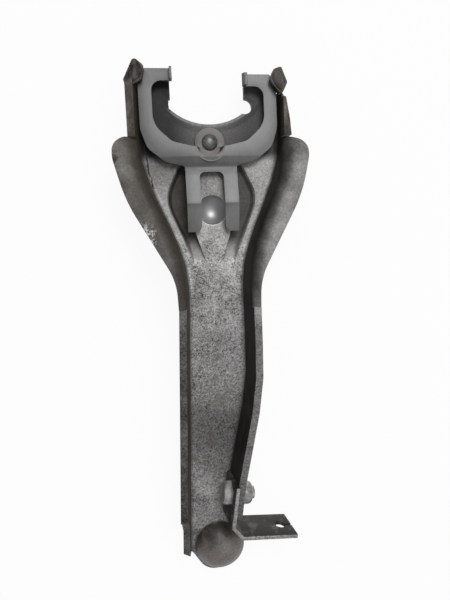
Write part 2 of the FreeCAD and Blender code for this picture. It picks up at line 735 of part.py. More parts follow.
def return_spring_bracket(doc, form):
    """Strip bent twice by 45 degrees, bolted inside the right wall."""
    size = form.size
    body = doc.addObject("PartDesign::Body", "ReturnSpringBracket")
    profile = new_sketch(body, "StripPath", "XY_Plane")
    start = -size["strip_leg_above_bolt"]
    leg = size["strip_leg_below_bolt"]
    slant = size["strip_bevel_length"] * math.sqrt(0.5)
    wide = size["strip_thickness"]
    corners = [
        (start, 0), (leg, 0), (leg + slant, slant), (leg + slant, slant + size["strip_arm_length"]),
        (leg + slant + wide, slant + size["strip_arm_length"]), (leg + slant + wide, slant - 1.0),
        (leg + 1.0, -wide), (start, -wide),
    ]
    for index, corner in enumerate(corners):
        following = corners[(index + 1) % len(corners)]
        profile.addGeometry(Part.LineSegment(Vector(*corner, 0), Vector(*following, 0)), False)
    for index in range(8):
        profile.addConstraint(Sketcher.Constraint("Coincident", index, 2, (index + 1) % 8, 1))
    for line in (0, 6):
        profile.addConstraint(Sketcher.Constraint("Horizontal", line))
    for line in (2, 4, 7):
        profile.addConstraint(Sketcher.Constraint("Vertical", line))
    profile.addConstraint(Sketcher.Constraint("Horizontal", 3))
    profile.addConstraint(Sketcher.Constraint("Parallel", 5, 1))
    profile.addConstraint(Sketcher.Constraint("PointOnObject", 0, 1, -1))
    bind(profile, Sketcher.Constraint("DistanceX", 0, 1, -1, 1, -start), "Sizes.strip_leg_above_bolt")
    bind(profile, Sketcher.Constraint("DistanceX", -1, 1, 0, 2, leg), "Sizes.strip_leg_below_bolt")
    bind(profile, Sketcher.Constraint("DistanceX", 1, 1, 1, 2, slant), "Sizes.strip_bevel_length * sqrt(0.5)")
    bind(profile, Sketcher.Constraint("DistanceY", 1, 1, 1, 2, slant), "Sizes.strip_bevel_length * sqrt(0.5)")
    bind(profile, Sketcher.Constraint("DistanceY", 2, 1, 2, 2, size["strip_arm_length"]), "Sizes.strip_arm_length")
    bind(profile, Sketcher.Constraint("DistanceX", 3, 1, 3, 2, wide), "Sizes.strip_thickness")
    bind(profile, Sketcher.Constraint("DistanceY", 7, 1, 7, 2, wide), "Sizes.strip_thickness")
    bind(profile, Sketcher.Constraint("Distance", 5, 2, 1, wide), "Sizes.strip_thickness")
    pad = body.newObject("PartDesign::Pad", "Strip")
    pad.Profile = profile
    pad.setExpression("Length", "Sizes.strip_width")
    doc.recompute()
    circle_pocket(body, "LegHole", "XZ_Plane", "0 * Sizes.strip_width", "Sizes.strip_width / 2",
                  "Sizes.bolt_diameter / 2 + Sizes.fit_clearance", (0.0, size["strip_width"] / 2))
    reach = "(Sizes.strip_bevel_length * sqrt(0.5) + Sizes.strip_arm_length - Sizes.spring_hole_inset)"
    reach_now = slant + size["strip_arm_length"] - size["spring_hole_inset"]
    circle_pocket(body, "SpringHole", "YZ_Plane", reach, "Sizes.strip_width / 2",
                  "Sizes.spring_hole_diameter / 2", (reach_now, size["strip_width"] / 2))
    doc.recompute()
    tear = bound(doc, "Part::Box", "Tear", Length="4 * Sizes.strip_thickness",
                 Width="Sizes.spring_hole_inset + 1", Height="Sizes.tear_width",
                 Placement__Base__x="Sizes.strip_leg_below_bolt + Sizes.strip_bevel_length * sqrt(0.5) - Sizes.strip_thickness",
                 Placement__Base__y=reach, Placement__Base__z="Sizes.strip_width / 2")
    torn = doc.addObject("Part::Cut", "TornBracket")
    torn.Base = body
    torn.Tool = tear
    return torn


def hex_block(doc, name, height, corner_up):
    """A hexagonal prism along the bolt axis with the corners of one end turned off."""
    block = bound(doc, "Part::Prism", name + "Hex", Circumradius="Sizes.hex_across_flats / sqrt(3)", Height=height)
    block.Polygon = 6
    turned_end = "Sizes.hex_across_flats * 0.45"
    full_end = "Sizes.hex_across_flats * 0.66"
    ends = (turned_end, full_end) if corner_up else (full_end, turned_end)
    turned = bound(doc, "Part::Cone", name + "Turning", Height=height, Radius1=ends[0], Radius2=ends[1])
    common = doc.addObject("Part::MultiCommon", name)
    common.Shapes = [block, turned]
    return common


def bracket_bolt(doc, form):
    """Hexagon bolt: head in the channel, shank out through strip, wall and nut."""
    size = form.size
    head = hex_block(doc, "BoltHead", "Sizes.head_height", True)
    shank = bound(doc, "Part::Cylinder", "BoltShank", Radius="Sizes.bolt_diameter / 2",
                  Height="Sizes.strip_thickness + Sizes.sheet_thickness + Sizes.nut_height"
                         " + Sizes.bolt_end_past_nut",
                  Placement__Base__z="Sizes.head_height")
    bolt = doc.addObject("Part::MultiFuse", "BracketBolt")
    bolt.Shapes = [head, shank]
    head_face = -size["strip_thickness"] - size["head_height"]
    bolt.Placement = form.bracket_seat().multiply(bolt_axis(size, head_face))
    return bolt


def bracket_nut(doc, form):
    """Hexagon nut on the outside of the right wall."""
    size = form.size
    block = hex_block(doc, "NutBlock", "Sizes.nut_height", False)
    bore = bound(doc, "Part::Cylinder", "NutBore", Radius="Sizes.bolt_diameter / 2", Height="Sizes.nut_height")
    nut = doc.addObject("Part::Cut", "BracketNut")
    nut.Base = block
    nut.Tool = bore
    nut.Placement = form.bracket_seat().multiply(bolt_axis(size, size["sheet_thickness"]))
    return nut


def rest_placement(size):
    """Lower the ball centre to the origin and pitch the fork onto its rest."""
    centre = size["ball_centre_height"]
    bulge = size["ball_radius"] + size["sheet_thickness"]
    run = size["cup_radius"] - size["cup_place"]
    rise = centre + size["sheet_thickness"]
    pitch = math.degrees(math.asin(bulge / math.hypot(run, rise)) - math.atan2(rise, run))
    lowered = FreeCAD.Placement(Vector(0, 0, -centre), FreeCAD.Rotation())
    return FreeCAD.Placement(Vector(), FreeCAD.Rotation(Vector(1, 0, 0), pitch)).multiply(lowered)


def check_and_write(doc, pieces, rest):
    """Stop on any failed object, then write each piece to its own file."""
    doc.recompute()
    for item in doc.Objects:
        if {"Invalid", "Error"} & set(item.State):
            raise RuntimeError("%s: %s" % (item.Name, item.State))
    for label, piece in pieces.items():
        piece.Label = label
        shape = piece.Shape
        if shape.isNull() or not shape.isValid() or len(shape.Solids) != 1:
            raise RuntimeError("%s is not one valid solid" % label)
    os.makedirs("parts", exist_ok=True)
    for label, piece in pieces.items():
        piece.Placement = rest.multiply(piece.Placement)
        piece.Shape.exportStep("parts/%s.step" % label)
        print("%s: %.1f mm3" % (label, piece.Shape.Volume))


def main():
    doc = FreeCAD.newDocument("ClutchFork")
    size = make_sheet(doc)
    form = ForkSheet(size)
    pieces = {
        "fork_body": fork_body(doc, form),
        "retainer_spring": retainer_spring(doc, form),
        "spring_rivet": spring_rivet(doc, size),
        "return_spring_bracket": return_spring_bracket(doc, form),
        "bracket_bolt": bracket_bolt(doc, form),
        "bracket_nut": bracket_nut(doc, form),
    }
    pieces["return_spring_bracket"].Placement = form.bracket_seat()
    check_and_write(doc, pieces, rest_placement(size))


main()
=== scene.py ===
import logging
import math
from dataclasses import dataclass, field
from enum import Enum
from typing import Any, Mapping, Sequence, Union

import bpy
from mathutils import Matrix, Vector


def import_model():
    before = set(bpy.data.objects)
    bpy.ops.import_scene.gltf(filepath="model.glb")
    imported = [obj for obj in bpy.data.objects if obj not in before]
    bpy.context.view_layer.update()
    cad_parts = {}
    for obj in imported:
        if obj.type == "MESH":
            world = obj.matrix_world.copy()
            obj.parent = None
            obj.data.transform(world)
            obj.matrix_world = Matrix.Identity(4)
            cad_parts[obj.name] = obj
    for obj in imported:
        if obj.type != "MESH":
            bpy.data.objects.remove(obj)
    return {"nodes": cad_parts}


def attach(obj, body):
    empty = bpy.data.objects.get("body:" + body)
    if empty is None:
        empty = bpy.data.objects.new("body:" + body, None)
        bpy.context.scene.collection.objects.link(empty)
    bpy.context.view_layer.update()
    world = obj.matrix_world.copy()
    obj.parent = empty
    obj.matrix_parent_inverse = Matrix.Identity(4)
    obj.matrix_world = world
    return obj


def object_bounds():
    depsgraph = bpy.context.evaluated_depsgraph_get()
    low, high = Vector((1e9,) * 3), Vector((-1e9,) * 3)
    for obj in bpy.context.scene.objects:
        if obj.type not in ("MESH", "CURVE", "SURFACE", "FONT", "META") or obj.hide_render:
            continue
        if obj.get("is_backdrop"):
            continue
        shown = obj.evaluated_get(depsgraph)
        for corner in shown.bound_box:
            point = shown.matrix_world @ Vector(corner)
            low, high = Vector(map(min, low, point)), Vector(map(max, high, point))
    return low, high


log = logging.getLogger("clutch_fork")

Number = Union[int, float]
Triple = tuple[float, float, float]
Stop = tuple[float, Triple]

# Rise of the web towards the yoke, for each metre along the fork.
PITCH_RISE = 0.033414
# Depth of the web's upper face under the pivot.
WEB_DROP = 0.0015
# Line of the walls: half width along the lever, growth at the yoke and where it grows.
LEVER_HALF_WIDTH = 0.0177
NECK_GROWTH = 0.0269
NECK_RUN = (-0.048, 0.044)


class Direction(Enum):
    """Directions a surface of the fork can face."""

    UP = (0.0, 0.0, 1.0)
    BRACKET_SIDE = (1.0, 0.0, 0.0)


class Span(Enum):
    """Where a mask starts and where it is full: in metres, or a cosine where it says facing."""

    LEFT_TO_RIGHT = (-0.0105, -0.0095)
    FACING_IN = (0.12, 0.72)
    FACING_OUT = (0.3, 0.8)
    FACING_DOWN = (0.2, 0.6)
    FACING_UP = (0.25, 0.75)
    WALL_FOOT = (0.0002, 0.0040)
    WING_LEVEL = (0.0105, 0.0125)
    WING_START = (-0.078, -0.060)
    WING_OPENS = (-0.068, -0.046)
    WING_LOW_END = (-0.050, 0.005)
    BEND_WIDTH = (0.0030, 0.0145)
    RIM_LEVEL = (0.0075, 0.0090)
    ARM_START = (0.0455, 0.0475)
    ARM_LEVEL = (0.0050, 0.0080)
    TAB_START = (0.0745, 0.0765)
    TAB_LEVEL = (0.0060, 0.0070)
    TAB_SIDE = (0.034, 0.036)
    YOKE_START = (0.030, 0.037)
    YOKE_LEVEL = (0.0030, 0.0060)
    YOKE_BREADTH = (-0.032, 0.032)
    YOKE_MIDDLE = (0.006, 0.028)
    YOKE_RIM_END = (0.0600, 0.0660)
    HOLLOW_LEVEL = (-0.0024, -0.0007)
    CUP_LEVEL = (-0.0010, 0.0008)
    CUP_SLANT = (-0.015, 0.002)
    SMOOTH_START = (-0.036, -0.004)
    BARE_SIDE = (0.0040, 0.0150)
    BARE_START = (-0.135, -0.110)
    BARE_END = (-0.030, -0.010)
    EDGE_HIGHLIGHT_WIDTH = (0.0004, 0.0011)
    UNDER_START = (-0.004, 0.030)
    UNDER_SIDE = (-0.012, 0.022)
    CRACK_WIDTH = (0.0003, 0.0008)
    POCKET_SIDE = (-0.004, 0.004)
    BRIDGE_SIDE = (0.0070, 0.0105)
    POCKET_START = (-0.0350, -0.0130)
    POCKET_FACING_UP = (0.80, 0.97)
    ARM_FACING_UP = (0.1, 0.5)
    SPRING_BREADTH = (-0.02, 0.03)
    SPRING_LOWER_LEG_END = (-0.001, 0.004)
    SPRING_FACING_UP = (0.25, 0.60)
    STRIP_FACING_UP = (0.62, 0.86)
    STRIP_TOP_LEVEL = (0.0085, 0.0100)


class Band(Enum):
    """Lower limit, upper limit and soft edge of a mask between two limits, in metres."""

    STAIN_RUN = (-0.172, -0.088, 0.012)
    EDGE_HIGHLIGHT_RUN = (-0.050, 0.024, 0.010)
    CRACK_RUN = (0.0150, 0.0340, 0.001)
    WALL_FOOT = (0.0004, 0.0026, 0.0006)
    YOKE_RIM = (0.0376, 0.0392, 0.0008)
    YOKE_GROOVE = (0.0412, 0.0428, 0.0012)
    SPRING_UPPER_LEG = (0.0060, 0.0250, 0.004)
    SPRING_LEG_END = (0.0235, 0.0275, 0.003)


@dataclass(frozen=True)
class NoiseKind:
    """Features in a metre, octaves and weight of the fine octaves of one noise."""

    per_metre: float
    detail: float
    rough: float


@dataclass(frozen=True)
class Spot:
    """Middle, radius and soft edge of a round place on the fork."""

    centre: Triple
    radius: float
    soft: float


class Field:
    """One value of a shader, usable in Python expressions."""

    def __init__(self, graph: "Graph", socket: bpy.types.NodeSocket) -> None:
        """Wrap a socket.

        Args:
            graph: The graph that owns the socket.
            socket: The output socket that carries the value.
        """
        self.graph = graph
        self.socket = socket

    def __add__(self, other: "Operand") -> "Field":
        """Add."""
        return self.graph.math("ADD", self, other)

    __radd__ = __add__

    def __mul__(self, other: "Operand") -> "Field":
        """Multiply."""
        return self.graph.math("MULTIPLY", self, other)

    __rmul__ = __mul__

    def __sub__(self, other: "Operand") -> "Field":
        """Subtract the other value."""
        return self.graph.math("SUBTRACT", self, other)

    def __rsub__(self, other: "Operand") -> "Field":
        """Subtract from the other value."""
        return self.graph.math("SUBTRACT", other, self)

    def __truediv__(self, other: "Operand") -> "Field":
        """Divide by the other value."""
        return self.graph.math("DIVIDE", self, other)

    def __neg__(self) -> "Field":
        """Change the sign."""
        return self.graph.math("MULTIPLY", self, -1.0)

    def __abs__(self) -> "Field":
        """Take the size without the sign."""
        return self.graph.math("ABSOLUTE", self)

    def __and__(self, other: "Operand") -> "Field":
        """The lower of two masks."""
        return self.graph.math("MINIMUM", self, other)

    def __or__(self, other: "Operand") -> "Field":
        """The higher of two masks."""
        return self.graph.math("MAXIMUM", self, other)

    def step(self, low: float, high: float) -> "Field":
        """Rise smoothly from 0 at low to 1 at high.

        Args:
            low: Value at which the mask starts.
            high: Value at which the mask is full.

        Returns:
            The mask.
        """
        settings = {"interpolation_type": "SMOOTHSTEP"}
        links = {"Value": self, "From Min": low, "From Max": high}
        return self.graph.value("ShaderNodeMapRange", settings, links, "Result")

    def over(self, span: Span) -> "Field":
        """Rise smoothly over a named span.

        Args:
            span: The span.

        Returns:
            The mask.
        """
        return self.step(*span.value)

    def within(self, band: Band) -> "Field":
        """Mask of the values between two limits.

        Args:
            band: The limits, and the width of the soft edge outside each.

        Returns:
            The mask.
        """
        low, high, soft = band.value
        return self.step(low - soft, low) & (1 - self.step(high, high + soft))


Operand = Union[Field, Number]
Colour = Union[Field, Triple]


class Graph:
    """The nodes of one material, with the calls that every finish uses."""

    def __init__(self, name: str) -> None:
        """Start an empty material.

        Args:
            name: Name of the material.
        """
        self.material = bpy.data.materials.new(name)
        self.material.use_nodes = True
        self.tree = self.material.node_tree
        self.tree.nodes.clear()
        place = self.node("ShaderNodeTexCoord")
        self.place = Field(self, place.outputs["Object"])
        facing = self.node("ShaderNodeNewGeometry")
        self.facing = Field(self, facing.outputs["Normal"])

    def node(
        self,
        kind: str,
        settings: Mapping[str, Any] | None = None,
        sockets: Mapping[Union[str, int], Any] | None = None,
    ) -> bpy.types.Node:
        """Add any node.

        Args:
            kind: Type name of the node.
            settings: Properties of the node, set before its sockets.
            sockets: Values or fields for its inputs, by name or number.

        Returns:
            The node.
        """
        made = self.tree.nodes.new(kind)
        for key, setting in (settings or {}).items():
            if key == "stops":
                self._set_stops(made.color_ramp, setting)
            else:
                setattr(made, key, setting)
        for key, given in (sockets or {}).items():
            target = made.inputs[key]
            if isinstance(given, Field):
                self.tree.links.new(given.socket, target)
            elif target.type == "RGBA" and not isinstance(given, (int, float)):
                target.default_value = (*given, 1.0)
            else:
                target.default_value = given
        return made

    @staticmethod
    def _set_stops(ramp: bpy.types.ColorRamp, stops: Sequence[Stop]) -> None:
        """Write the stops of a colour ramp.

        Args:
            ramp: The ramp.
            stops: Place and colour of each stop.
        """
        while len(ramp.elements) < len(stops):
            ramp.elements.new(1.0)
        for element, (place, colour) in zip(ramp.elements, stops):
            element.position = place
            element.color = (*colour, 1.0)

    def value(
        self,
        kind: str,
        settings: Mapping[str, Any] | None,
        sockets: Mapping[Union[str, int], Any],
        output: Union[str, int] = 0,
    ) -> Field:
        """Add a node and return one of its outputs.

        Args:
            kind: Type name of the node.
            settings: Properties of the node.
            sockets: Values or fields for its inputs.
            output: The output wanted, by name or number.

        Returns:
            The output as a field.
        """
        return Field(self, self.node(kind, settings, sockets).outputs[output])

    def math(self, operation: str, *values: Operand) -> Field:
        """Add one Math node.

        Args:
            operation: Name of the operation.
            values: Its values, in order.

        Returns:
            The result.
        """
        return self.value("ShaderNodeMath", {"operation": operation}, dict(enumerate(values)))

    def axes(self) -> tuple[Field, Field, Field]:
        """Split the position.

        Returns:
            Its x, y and z.
        """
        split = self.node("ShaderNodeSeparateXYZ", None, {0: self.place})
        return tuple(Field(self, output) for output in split.outputs[:3])

    def vector_math(
        self, operation: str, sockets: Mapping[Union[str, int], Any], output: Union[str, int] = 0
    ) -> Field:
        """Add one Vector Math node.

        Args:
            operation: Name of the operation.
            sockets: Values or fields for its inputs.
            output: The output wanted.

        Returns:
            The output as a field.
        """
        return self.value("ShaderNodeVectorMath", {"operation": operation}, sockets, output)

    def stretched(self, factors: Triple) -> Field:
        """Position with each axis scaled.

        Args:
            factors: Scale of each axis.

        Returns:
            The scaled position.
        """
        return self.vector_math("MULTIPLY", {0: self.place, 1: factors})

    def noise(self, kind: NoiseKind, vector: Field | None = None) -> Field:
        """Cloudy noise.

        Args:
            kind: Its scale and weights.
            vector: Position, or None for the plain one.

        Returns:
            The noise.
        """
        links = {
            "Vector": vector or self.place,
            "Scale": kind.per_metre,
            "Detail": kind.detail,
            "Roughness": kind.rough,
        }
        return self.value("ShaderNodeTexNoise", None, links, "Fac")

    def cells(self, per_metre: float) -> Field:
        """Distance to the nearest of many scattered points.

        Args:
            per_metre: Number of points in a metre.

        Returns:
            The distance in cells.
        """
        links = {"Vector": self.place, "Scale": per_metre}
        return self.value("ShaderNodeTexVoronoi", {"feature": "F1"}, links, "Distance")

    def mix(self, amount: Operand, first: Colour, second: Colour) -> Field:
        """Blend two colours.

        Args:
            amount: Share of the second colour.
            first: First colour.
            second: Second colour.

        Returns:
            The blended colour.
        """
        settings = {"data_type": "RGBA", "blend_type": "MIX", "clamp_factor": True}
        return self.value("ShaderNodeMix", settings, {0: amount, 6: first, 7: second}, 2)

    def layers(self, colour: Colour, *over: tuple[Operand, Colour]) -> Colour:
        """Lay colours over one another.

        Args:
            colour: The lowest colour.
            over: Share and colour of each further one, from below.

        Returns:
            The colour on top.
        """
        for share, tone in over:
            colour = self.mix(share, colour, tone)
        return colour

    def scaled(self, colour: Colour, factor: Field) -> Field:
        """Brighten or darken a colour.

        Args:
            colour: The colour.
            factor: What each channel is multiplied by.

        Returns:
            The colour.
        """
        return self.vector_math("SCALE", {0: colour, "Scale": factor})

    def facing_share(self, direction: Direction) -> Field:
        """Cosine between the surface and a direction.

        Args:
            direction: The direction.

        Returns:
            1 where the surface faces that way, -1 where it faces away.
        """
        return self.vector_math("DOT_PRODUCT", {0: self.facing, 1: direction.value}, "Value")

    def distance(self, centre: Triple) -> Field:
        """Distance from a point.

        Args:
            centre: The point.

        Returns:
            The distance in metres.
        """
        return self.vector_math("DISTANCE", {0: self.place, 1: centre}, "Value")

    def near(self, spot: Spot) -> Field:
        """Mask of the surface inside a ball.

        Args:
            spot: The ball.

        Returns:
            The mask.
        """
        return 1 - self.distance(spot.centre).step(spot.radius - spot.soft, spot.radius)

    def finish(
        self,
        colour: Colour,
        roughness: Operand,
        metallic: Operand,
        height: Field,
        bump_depth: float,
        bump_strength: float,
        specular: float = 0.5,
    ) -> bpy.types.Material:
        """Close the material with its shader.

        Args:
            colour: Base colour.
            roughness: Roughness.
            metallic: Metallic share.
            height: Height of the relief, 0 to 1.
            bump_depth: Depth of the relief in metres.
            bump_strength: Strength of the relief.
            specular: Specular level, the same all over.

        Returns:
            The finished material.
        """
        relief = {"Height": height, "Distance": bump_depth, "Strength": bump_strength}
        bump = self.node("ShaderNodeBump", None, relief)
        links = {
            "Base Color": colour,
            "Roughness": roughness,
            "Metallic": metallic,
            "Normal": Field(self, bump.outputs[0]),
            "Specular IOR Level": specular,
        }
        shader = self.node("ShaderNodeBsdfPrincipled", None, links)
        self.node("ShaderNodeOutputMaterial", None, {"Surface": Field(self, shader.outputs[0])})
        return self.material


def grey(level: float, warmth: float = 0.0) -> Triple:
    """A grey, a little warmer or cooler.

    Args:
        level: Linear brightness.
        warmth: Share taken from blue and given to red.

    Returns:
        The colour.
    """
    return (level * (1 + warmth), level, level * (1 - warmth))


class ForkMap:
    """Where a point of the fork lies, as masks for its finish."""

    def __init__(self, graph: Graph) -> None:
        """Work out the masks.

        Args:
            graph: Nodes of the fork's finish.
        """
        self.x, self.y, z = graph.axes()
        self.level = z + WEB_DROP - self.y * PITCH_RISE
        self.outward = abs(self.x) - (LEVER_HALF_WIDTH + self.y.step(*NECK_RUN) * NECK_GROWTH)
        self.up = graph.facing_share(Direction.UP)
        side = graph.facing_share(Direction.BRACKET_SIDE)
        self.right = self.x.over(Span.LEFT_TO_RIGHT)
        self.left = 1 - self.right
        raised = self.level.over(Span.WALL_FOOT)
        self.inner_left = side.over(Span.FACING_IN) * self.left * raised
        self.inner_right = (-side).over(Span.FACING_IN) * self.right * raised
        outer_left = (-side).over(Span.FACING_OUT) * self.left
        outer_right = side.over(Span.FACING_OUT) * self.right
        underside = (-self.up).over(Span.FACING_DOWN)
        inner = self.inner_left | self.inner_right
        self.off_web = inner | outer_left | outer_right | underside
        top = self.up.over(Span.FACING_UP)
        winged = self.y.over(Span.WING_START)
        self.wing = top * self.level.over(Span.WING_LEVEL) * winged
        self.rim_top = top * self.level.over(Span.RIM_LEVEL) * (1 - winged)
        self.arm = self.y.over(Span.ARM_START) * self.level.over(Span.ARM_LEVEL)
        tab_side = abs(self.x).over(Span.TAB_SIDE)
        self.tab = self.y.over(Span.TAB_START) * self.level.over(Span.TAB_LEVEL) * tab_side
        self.yoke = self.y.over(Span.YOKE_START) * (1 - self.level.over(Span.YOKE_LEVEL))
        self.hollow = 1 - self.level.over(Span.HOLLOW_LEVEL)


@dataclass(frozen=True)
class PressedSteelFinish:
    """Bare pressed sheet: speckled web, dark walls, browned arms, dull cup, polished socket, and
    painted shade and highlights in places.
    """

    web_tones: tuple[tuple[float, float], ...] = (
        (-0.226, 0.170), (-0.205, 0.260), (-0.192, 0.340), (-0.178, 0.240),
        (-0.160, 0.165), (-0.138, 0.165), (-0.126, 0.250), (-0.100, 0.320),
        (-0.086, 0.270), (-0.060, 0.285), (-0.020, 0.330), (0.020, 0.300),
    )
    web_span: tuple[float, float] = (-0.230, 0.030)
    web_warmth: float = 0.015
    stain_tone: Triple = (0.088, 0.078, 0.068)
    pocket_shade_tones: tuple[Triple, Triple] = ((0.026, 0.022, 0.017), (0.050, 0.048, 0.045))
    brown_tones: tuple[Triple, Triple] = ((0.058, 0.046, 0.034), (0.038, 0.035, 0.031))
    shade_and_grime_tones: tuple[Triple, Triple] = ((0.013, 0.011, 0.010), (0.028, 0.024, 0.022))
    dull_tones: tuple[Triple, Triple] = ((0.072, 0.064, 0.056), (0.112, 0.104, 0.096))
    foot_tone: Triple = (0.090, 0.054, 0.026)
    wing_tones: tuple[Triple, Triple] = ((0.092, 0.085, 0.077), (0.150, 0.143, 0.135))
    bend_shade_tones: tuple[Triple, Triple] = ((0.044, 0.038, 0.032), (0.040, 0.037, 0.035))
    rust_tones: tuple[Triple, Triple] = ((0.034, 0.028, 0.021), (0.086, 0.070, 0.054))
    tab_tones: tuple[Triple, Triple] = ((0.010, 0.009, 0.008), (0.050, 0.047, 0.044))
    tab_streak_tone: Triple = (0.085, 0.076, 0.068)
    tab_patch_tone: Triple = (0.060, 0.048, 0.038)
    cup_shading_and_dirt_tones: tuple[Triple, Triple] = ((0.046, 0.043, 0.040), (0.205, 0.190, 0.180))
    cup_patch_tone: Triple = (0.125, 0.098, 0.078)
    ball_tone: float = 0.40
    ball: Spot = Spot((0.0, 0.0, 0.0), 0.0103, 0.0005)
    cup: Spot = Spot((-0.0052, -0.2312, -0.0160), 0.0196, 0.0012)
    upper_smudge: Spot = Spot((-0.004, -0.094, 0.0), 0.019, 0.016)
    lower_smudge: Spot = Spot((-0.006, -0.148, 0.0), 0.022, 0.020)
    scuff: Spot = Spot((-0.0435, -0.018, 0.022), 0.0110, 0.0080)
    nick: Spot = Spot((-0.0600, 0.028, 0.019), 0.0075, 0.0060)
    edge_highlight_inset: float = 0.0012
    crack_inset: float = 0.0016
    crack_waver: float = 0.008
    yoke_centre: Triple = (0.0008, 0.0926, 0.0016)
    dots_per_metre: float = 560
    cloud_noise: NoiseKind = NoiseKind(26, 3.0, 0.55)
    patch_noise: NoiseKind = NoiseKind(105, 4.0, 0.62)
    grain_noise: NoiseKind = NoiseKind(720, 3.0, 0.68)
    fine_noise: NoiseKind = NoiseKind(1650, 2.0, 0.65)
    streak_noise: NoiseKind = NoiseKind(150, 4.0, 0.65)
    streak_stretch: Triple = (1.6, 0.45, 1.0)
    roughness: float = 0.56
    metallic: float = 0.42
    specular: float = 0.25
    relief_depth: float = 0.00030
    relief_strength: float = 0.45

    def material(self) -> bpy.types.Material:
        """Build the material.

        Returns:
            The material of the pressed sheet.
        """
        graph = Graph("pressed_steel")
        at = ForkMap(graph)
        clouds = graph.noise(self.cloud_noise)
        patches = graph.noise(self.patch_noise)
        grain = graph.noise(self.grain_noise)
        fine = graph.noise(self.fine_noise)
        dots = 1 - graph.cells(self.dots_per_metre).step(0.10, 0.26)
        dots = dots * patches.step(0.34, 0.62)
        ball = graph.near(self.ball)
        cup = graph.near(self.cup) * at.level.over(Span.CUP_LEVEL)
        web = self._web(graph, at, clouds, patches)
        colour = graph.mix(at.off_web, web, self._walls(graph, at, patches))
        colour = self._wings(graph, at, colour, clouds, patches, grain)
        colour = self._arms(graph, at, colour, patches)
        colour = graph.mix(cup, colour, self._cup_shading_and_dirt_tone(graph, at, patches))
        colour = graph.mix(ball, colour, grey(self.ball_tone))
        plain = at.yoke | at.hollow | at.off_web | cup | at.tab
        smooth = (plain * 0.65) | (at.wing * 0.60) | (at.y.over(Span.SMOOTH_START) * 0.50)
        mottle = 1 - (smooth | (ball * 0.97))
        tint = (grain - 0.5) * 3.1 + (fine - 0.5) * 3.0
        tint = tint + (patches - 0.5) * 1.9 + (clouds - 0.5) * 1.0 - dots * 0.60
        colour = graph.scaled(colour, (1 + tint * mottle) | 0.12)
        rough = self.roughness + (patches - 0.5) * 0.20 - ball * 0.06 - cup * 0.10
        dull = at.off_web | at.yoke | at.tab | at.arm
        metal = self.metallic - dull * 0.30 + ball * 0.50 - dots * 0.20
        relief = (grain * 0.6 + fine * 0.3 - dots * 0.5) * mottle + patches * 0.35
        return graph.finish(
            colour,
            rough,
            metal,
            relief * (1 - ball),
            self.relief_depth,
            self.relief_strength,
            self.specular,
        )

    def _web(self, graph: Graph, at: ForkMap, clouds: Field, patches: Field) -> Colour:
        """Tone of the web along the fork, with painted shade round the spring, on the yoke sheet
        and in the pockets, and a painted highlight along the web's edge.

        Args:
            graph: Nodes of the finish.
            at: Masks of the fork.
            clouds: Slow noise.
            patches: Middling noise.

        Returns:
            The colour.
        """
        low, high = self.web_span
        length = high - low
        wavy = at.y + (clouds - 0.5) * 0.030 + (patches - 0.5) * 0.016 + at.x * 0.35
        stops = [((y - low) / length, grey(tone, self.web_warmth)) for y, tone in self.web_tones]
        links = {"Fac": (wavy - low) / length}
        along = graph.value("ShaderNodeValToRGB", {"stops": stops}, links, "Color")
        stain = (patches * 0.6 + clouds * 0.4).step(0.49, 0.60)
        stain = stain * at.y.within(Band.STAIN_RUN)
        smudge = graph.near(self.upper_smudge) | graph.near(self.lower_smudge)
        smudge = smudge * patches.step(0.38, 0.66)
        bare = at.x.over(Span.BARE_SIDE) * at.y.over(Span.BARE_START)
        bare = bare * (1 - at.y.over(Span.BARE_END))
        # Painted highlight: a pale line along the web's edge, just inside the foot of the walls.
        edge = 1 - abs(at.outward + self.edge_highlight_inset).over(Span.EDGE_HIGHLIGHT_WIDTH)
        edge = edge * at.y.within(Band.EDGE_HIGHLIGHT_RUN)
        # Painted shade: the web darkened round and beneath the spring, fading out towards the
        # right.
        under = at.y.over(Span.UNDER_START) * (1 - at.x.over(Span.UNDER_SIDE))
        crack_line = at.outward + self.crack_inset + (patches - 0.5) * self.crack_waver
        crack = 1 - abs(crack_line).over(Span.CRACK_WIDTH)
        crack = crack * at.left * at.y.within(Band.CRACK_RUN)
        bridge = abs(at.x).over(Span.BRIDGE_SIDE)
        fade = at.y.over(Span.POCKET_START)
        return graph.layers(
            along,
            (stain * 0.60, self.stain_tone),
            (smudge * 0.60, grey(0.060, 0.08)),
            (bare * 0.45, grey(0.430, 0.01)),
            (edge * 0.45, grey(0.520)),
            (under * 0.75, grey(0.085, 0.02)),
            (crack * 0.9, grey(0.012, 0.05)),
            (at.yoke, self._yoke_shade_tone(graph, at, patches)),
            # Painted shade in the pocket's lobes, partly brown dirt.
            (at.hollow * bridge * (0.15 + fade * 0.80), self._pocket_shade_tone(graph, at, patches)),
        )

    def _pocket_shade_tone(self, graph: Graph, at: ForkMap, patches: Field) -> Colour:
        """Painted shade in the pocket's two lobes, with some brown dirt: browner and darker on
        the left beneath the spring's painted shadow, and a painted highlight on the sloping faces
        of the right lobe.

        Args:
            graph: Nodes of the finish.
            at: Masks of the fork.
            patches: Middling noise.

        Returns:
            The colour.
        """
        # Left lobe darker and browner: the spring's painted shadow together with brown dirt.
        pocket = graph.mix(at.x.over(Span.POCKET_SIDE), *self.pocket_shade_tones)
        pocket = graph.mix(patches.step(0.42, 0.65) * 0.4, pocket, grey(0.062, 0.05))
        flat = at.up.over(Span.POCKET_FACING_UP)
        # Painted highlight: the sloping faces of the right lobe made lighter.
        return graph.mix(flat, graph.scaled(pocket, 1 + at.right * 0.9), pocket)

